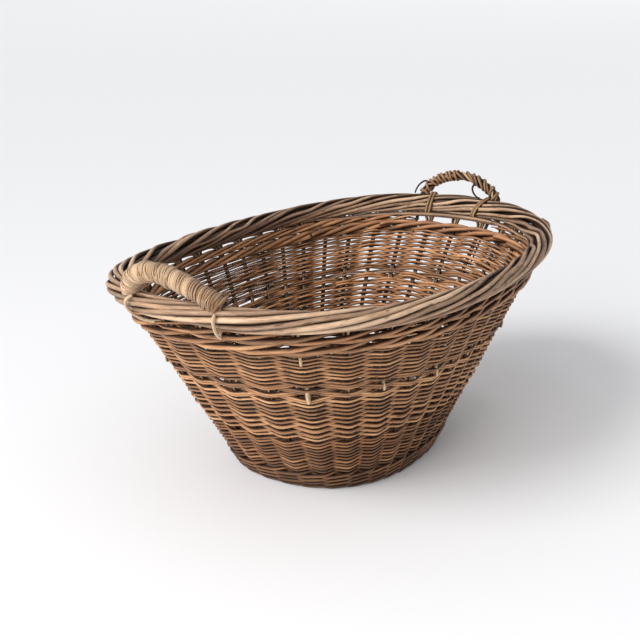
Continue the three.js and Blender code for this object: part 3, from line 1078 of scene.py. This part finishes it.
def near_handle():
    """The arch bound closely with twine, thickest on both sides of a dip, with loose turns
    and a knot at its -Y foot."""
    add_bow("near_handle_bow", NEAR_HANDLE)
    arch = along_arch(NEAR_HANDLE)
    full = arch[3][-1]
    rods = Rods(sides=7)
    humps = wander(1, 0.6 * MM)
    layers = random.normal(0, 0.26 * MM, STRAND_TURNS)
    tones = np.clip(random.normal(0.55, 0.28, STRAND_TURNS), 0, 1)

    def core(share):
        slim_start = 0.10 * (1 - smoothstep(share / 0.14))
        slim_end = 0.14 * smoothstep((share - 0.84) / 0.16)
        dip = 1 - 0.15 * np.exp(-(((share - 0.56) / 0.05) ** 2))
        return BOUND_RADIUS * (1 - slim_start - slim_end) * dip + humps(share * 2) * 0.6

    def padding(share):
        return core(share) - PADDING_DEPTH

    def by_turn(share, values):
        return np.interp(share * full / STRAND_PITCH, np.arange(STRAND_TURNS), values)

    def layered(share):
        return core(share) + by_turn(share, layers)

    share = np.linspace(0, 1, int(full / STRAND_PITCH * 16) + 2)
    # The padding under the turns is painted darker as shade.
    wound_turns(
        rods, arch, 0.02 * full, 0.97 * full, PADDING_PITCH, PADDING_RADIUS, padding, shade=0.3,
    )
    wound_turns(
        rods, arch, 0.0, full, STRAND_PITCH, STRAND_RADIUS, layered,
        slant=2.6 * MM, jitter=1.5 * MM, tone=by_turn(share, tones),
        shade=0.20 * (1 - smoothstep(share / 0.5)),
    )
    for _ in range(LOOSE_TURNS):
        middle = random.uniform(0.04, 0.94) * full
        reach = random.uniform(0.5, 1.6) * STRAND_PITCH
        depth = core(np.array(middle / full)) + 0.9 * MM
        wound_turns(
            rods, arch, middle, middle + reach, STRAND_PITCH, random.uniform(0.45, 0.95) * MM,
            lambda share: depth + 0.9 * MM * np.sin(np.pi * share) ** 0.5,
            slant=random.uniform(-2.0, 6.0) * MM, angle=random.uniform(0, 6.28),
            tone=random.uniform(0.2, 1), shade=0.17 * (1 - middle / full),
        )
    for start, depth, slant in KNOT_TURNS:
        wound_turns(
            rods, arch, start * MM, (start + KNOT_LENGTH) * MM, KNOT_PITCH, KNOT_RADIUS,
            lambda share: depth * MM - 0.6 * MM * np.cos(2 * np.pi * share),
            slant=slant * MM, angle=start, tone=random.uniform(0.1, 0.6), shade=0.24,
        )
    finish_piece(rods, "near_twine_wrap", twine, "near_handle_twine")


ROPE_RADIUS = 2.5 * MM
LONG_STRANDS = dict(count=4, pitch=58 * MM, distance=5.0 * MM)
WRAP_DISTANCE = 7.4 * MM
WRAP_JITTER = 1.2 * MM
# Bunches of turns round the rope, as (first share, last share, turns, slant in mm).
WRAP_BUNCHES = (
    (0.02, 0.16, 2, -2), (0.17, 0.42, 4, -8), (0.54, 0.84, 7, -1.5), (0.86, 0.99, 2, 4),
)


def steady(distance):
    """A distance from the arch that stays the same along it."""
    return lambda share: np.full_like(share, distance)


def far_handle():
    """The arch roped with thin willow rods: some run along it, and others are wound round
    them, close at its shoulders and open at its top."""
    add_bow("far_handle_bow", FAR_HANDLE)
    arch = along_arch(FAR_HANDLE)
    full = arch[3][-1]
    rods = Rods(sides=8)
    hug = steady(LONG_STRANDS["distance"])
    for strand in range(LONG_STRANDS["count"]):
        quarter_turn = strand * 2 * np.pi / LONG_STRANDS["count"]
        wound_turns(
            rods, arch, 0.0, full, LONG_STRANDS["pitch"], ROPE_RADIUS, hug, angle=quarter_turn,
        )
    for first, last, turns, slant in WRAP_BUNCHES:
        wound_turns(
            rods, arch, first * full, last * full, (last - first) * full / turns, ROPE_RADIUS,
            steady(WRAP_DISTANCE), slant=slant * MM, jitter=WRAP_JITTER,
            angle=random.uniform(0, 6.28),
        )
    finish_piece(rods, "far_rope_rods", handle_willow, "far_handle_roping")


TIE_SAMPLES = 60


def round_border(end, places):
    """A smooth curve round one end's border through the given places."""
    path = curve_through(places, TIE_SAMPLES)
    s = np.array([place_of_y(y * MM, end) for y in path[:, 0]])
    return beside_border(s, path[:, 1], path[:, 2])


# Each lashing's way round the border, as [y in mm, turn in degrees, reach]. Its last end
# comes back up to the handle.
LASHINGS = {
    "far_lashing_left_1": [
        [51, 100, 1.16], [51, 0, 1.16], [51, -90, 1.16], [50, -180, 1.16], [51, -262, 1.24],
    ],
    "far_lashing_left_2": [
        [46, 100, 1.16], [46, 0, 1.16], [45, -90, 1.16], [44, -180, 1.16], [46, -262, 1.24],
    ],
    "far_lashing_right_1": [
        [-53, 100, 1.16], [-46, 0, 1.16], [-43, -90, 1.16], [-42, -150, 1.16],
        [-46, -205, 1.16], [-53, -262, 1.24],
    ],
    "far_lashing_right_2": [
        [-58, 100, 1.16], [-52, 0, 1.16], [-49, -90, 1.16], [-47, -150, 1.16],
        [-51, -205, 1.16], [-58, -262, 1.24],
    ],
}


def lashings():
    """Willow rods bent once round the border, which tie the far handle to it."""
    for node, places in LASHINGS.items():
        points, guides = round_border(1, places)
        radii = LASHING_RADIUS * uneven(TIE_SAMPLES, 0.04)
        tone = random.uniform(0.1, 0.4)
        single_rod(node, "_rod", handle_willow, 9, points, radii, guides, tone=tone)


# Each tail's way round the border, as [y in mm, turn in degrees, reach].
TWINE_TAILS = {
    "near_twine_tail_left": [
        [62, 62, 1.10], [65, 35, 1.22], [67, 5, 1.30], [66, -25, 1.42], [62, -52, 1.62],
        [56, -72, 1.70], [48, -88, 1.62],
    ],
    "near_twine_tail_right": [
        [-55, 42, 1.08], [-54, 18, 1.24], [-53, -12, 1.34], [-51, -42, 1.62], [-50, -60, 1.86],
        [-48, -68, 1.90], [-46, -76, 1.66], [-45, -86, 1.46],
    ],
}


def twine_tails():
    """The ends of the binding, tied round the border and hanging a little down the wall."""
    for node, places in TWINE_TAILS.items():
        points, guides = round_border(-1, places)
        radii = TWINE_RADIUS * uneven(TIE_SAMPLES, 0.05)
        single_rod(node, "_twine", twine, 8, points, radii, guides, tone=0.7, shade=-0.05)


# The way of each loose rod, as [y, x and z from the handle's -Y foot] in mm.
FAR_LOOSE_RODS = {
    "far_loose_rod_left": [
        [57, 8, 17], [64, 12, 21], [73, 14, 21], [81, 12, 15], [85, 8, 7], [85, 3, 1],
    ],
    "far_loose_rod_right": [
        [-30, -2, 27], [-27, -3, 20], [-29, -3, 12], [-35, -2, 5], [-40, 0, 3],
    ],
}
# The way of the loose rod on the rim, as [angle round the plan and turn round the border in
# degrees, clearance in mm].
RIM_LOOSE_ROD = np.array([
    [-38.0, 30.0, 1.0], [-41.0, 10.0, 6.5], [-44.0, -10.0, 6.5], [-47.0, -30.0, 1.0],
])


def loose_rods():
    """Ends of rods that stand away from the far handle and the rim, as in the CAD."""
    foot = arch_points(FAR_HANDLE, 3)[0]
    for node, places in FAR_LOOSE_RODS.items():
        points = [[foot[0] + out * MM, y * MM, foot[2] + up * MM] for y, out, up in places]
        path = curve_through(points, 50)
        thick = LOOSE_ROD_RADIUS * np.linspace(1.05, 0.8, len(path))
        guides = carried_guide(path, [1, 0, 0])
        single_rod(node, "_end", handle_willow, 8, path, thick, guides, tone=0.25)
    angle, turn, clearance = RIM_LOOSE_ROD.T
    reach = 1 + (LOOSE_ROD_RADIUS + clearance * MM) / BORDER_HALF_WIDTH
    path = curve_through(border_point(np.radians(angle), turn, reach), 40)
    thick = LOOSE_ROD_RADIUS * 0.9
    guides = carried_guide(path, [0, 0, 1])
    single_rod("rim_loose_rod", "_end", border_willow, 8, path, thick, guides, tone=0.3)


# Cut rod ends that stand out of the wall, as [stake, level, how far out in mm, radius in mm].
ROD_BUTTS = [
    [20, 0.588, 9.5, 3.3], [22, 0.604, 7.0, 2.2], [20, 0.776, 6.4, 2.3], [24, 0.590, 7.0, 2.5],
    [15, 0.600, 7.2, 2.4], [9, 0.588, 9.0, 3.1], [4, 0.604, 7.0, 2.4], [29, 0.600, 8.0, 2.8],
    [33, 0.588, 7.0, 2.4],
]


def rod_butts():
    """Thick ends of rods that come out under a row and point down and outward."""
    rods = Rods(sides=10)
    for stake, level, out, radius in ROD_BUTTS:
        levels = level + np.array([0.010, 0.0035, -0.0055]) * radius
        point, outward, _, _ = wall_frame(np.full(3, float(stake)), levels)
        offsets = np.array([0.0, 0.66 * out, out]) * MM
        path = curve_through(point + outward * offsets[:, None], 12)
        rods.add(path, radius * MM, outward[1], tone=0.55)
    finish_piece(rods, "rod_butts", stake_willow, "middle_weave")


weave_wall()
stake_rods()
border_rods()
border_core()
base_rods()
near_handle()
far_handle()
lashings()
twine_tails()
loose_rods()
rod_butts()

# ---- floor, lights and camera ----


def plain_floor():
    """A flat, pale floor that curves up far away, so that no edge of it shows."""
    material, _, shader = shader_tree("floor")
    shader.inputs["Base Color"].default_value = (0.82, 0.82, 0.83, 1)
    shader.inputs["Roughness"].default_value = 0.75
    rings = [(12.0, 0.0), (18.0, 0.1), (24.0, 0.7), (28.0, 2.0), (31.0, 4.5)]
    around = 96
    turns = [2 * math.pi * k / around for k in range(around)]
    corners = [
        (radius * math.cos(turn), radius * math.sin(turn), height)
        for radius, height in rings
        for turn in turns
    ]
    faces = [tuple(range(around))]
    for ring in range(len(rings) - 1):
        for k in range(around):
            onward = (k + 1) % around
            inner, outer = ring * around, (ring + 1) * around
            faces.append((inner + k, outer + k, outer + onward, inner + onward))
    mesh = bpy.data.meshes.new("floor")
    mesh.from_pydata(corners, [], faces)
    mesh.polygons.foreach_set("use_smooth", [True] * len(faces))
    mesh.materials.append(material)
    floor = bpy.data.objects.new("floor", mesh)
    bpy.context.scene.collection.objects.link(floor)


def aimed(light, place):
    """A light put at a place and turned to the basket."""
    lamp = bpy.data.objects.new(light.name, light)
    lamp.location = place
    aim = Vector((0, 0, 0.15)) - Vector(place)
    lamp.rotation_euler = aim.to_track_quat("-Z", "Y").to_euler()
    bpy.context.scene.collection.objects.link(lamp)


def studio():
    """Soft daylight: an even sky, a broad sun from the photograph's left and a large window
    beside the camera."""
    world = bpy.data.worlds.new("studio")
    world.use_nodes = True
    background = world.node_tree.nodes["Background"]
    background.inputs["Color"].default_value = (0.97, 0.98, 1.0, 1)
    background.inputs["Strength"].default_value = 0.66
    bpy.context.scene.world = world
    bpy.context.scene.view_settings.view_transform = "Standard"
    sun = bpy.data.lights.new("daylight", "SUN")
    sun.energy = 1.95
    sun.angle = math.radians(30)
    aimed(sun, (-2.3, 1.25, 2.4))
    window = bpy.data.lights.new("window", "AREA")
    window.shape = "DISK"
    window.size = 1.6
    window.energy = 33
    window.color = (1.0, 0.985, 0.965)
    aimed(window, (-2.4, 0.1, 1.0))


def photo_camera():
    """The photograph's viewpoint: to the near handle's right, a little above the rim."""
    azimuth, elevation, roll = 0.571, 0.306, -0.008
    distance = 1.497
    target = Vector((0.00285, 0.05035, 0.171))
    away = Vector((
        -math.cos(azimuth) * math.cos(elevation),
        -math.sin(azimuth) * math.cos(elevation),
        math.sin(elevation),
    ))
    camera = bpy.data.cameras.new("camera")
    camera.lens = 56.25
    camera.sensor_width = 36
    camera.clip_start = 0.05
    camera.clip_end = 100
    right = (-away).cross(Vector((0, 0, 1))).normalized()
    up = right.cross(-away)
    turned_right = right * math.cos(roll) + up * math.sin(roll)
    turned_up = up * math.cos(roll) - right * math.sin(roll)
    holder = bpy.data.objects.new("camera", camera)
    rotation = Matrix((turned_right, turned_up, away)).transposed().to_4x4()
    holder.matrix_world = Matrix.Translation(target + away * distance) @ rotation
    bpy.context.scene.collection.objects.link(holder)
    bpy.context.scene.camera = holder


plain_floor()
studio()
photo_camera()
